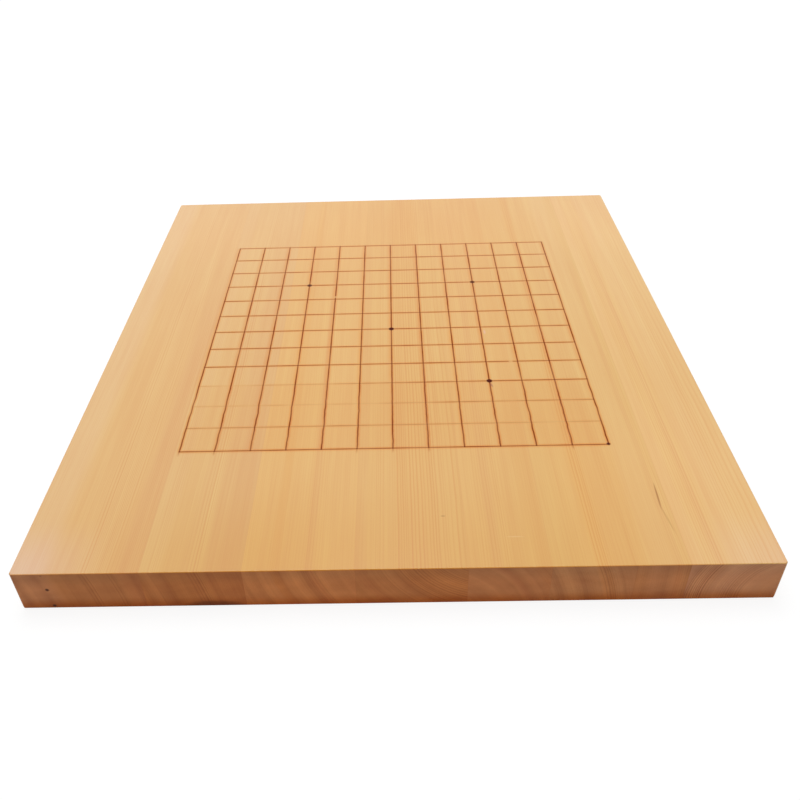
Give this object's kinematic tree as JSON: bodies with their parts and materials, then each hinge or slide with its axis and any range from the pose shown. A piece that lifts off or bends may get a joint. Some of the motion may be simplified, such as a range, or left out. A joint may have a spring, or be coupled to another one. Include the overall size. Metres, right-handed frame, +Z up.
{
  "type": "go board",
  "caption": "Solid flat go board glued up from wooden staves, with a square grid of dark lines and star points laid in its playing face.",
  "frame": {"origin": "on the supporting surface, under the middle of the board", "axes": "+X across the width to the near player's right, +Y away from the near player along the grain and the longer side, +Z up out of the playing face"},
  "size_m": [0.42, 0.48, 0.029],
  "materials": {
    "stave_wood": "clear satin varnish over straight-grained softwood",
    "biscuit_beech": "bare pressed beech",
    "line_lacquer": "dark red-brown lacquer, flush with the wood"
  },
  "bodies": {
    "root": {"stave_1": "stave_wood", "stave_2": "stave_wood", "stave_3": "stave_wood", "stave_4": "stave_wood", "stave_5": "stave_wood", "stave_6": "stave_wood", "stave_7": "stave_wood", "stave_8": "stave_wood", "biscuits_joint_1": "biscuit_beech", "biscuits_joint_2": "biscuit_beech", "biscuits_joint_3": "biscuit_beech", "biscuits_joint_4": "biscuit_beech", "biscuits_joint_5": "biscuit_beech", "biscuits_joint_6": "biscuit_beech", "biscuits_joint_7": "biscuit_beech", "grid_lines": "line_lacquer", "star_points": "line_lacquer"}
  },
  "joints": []
}
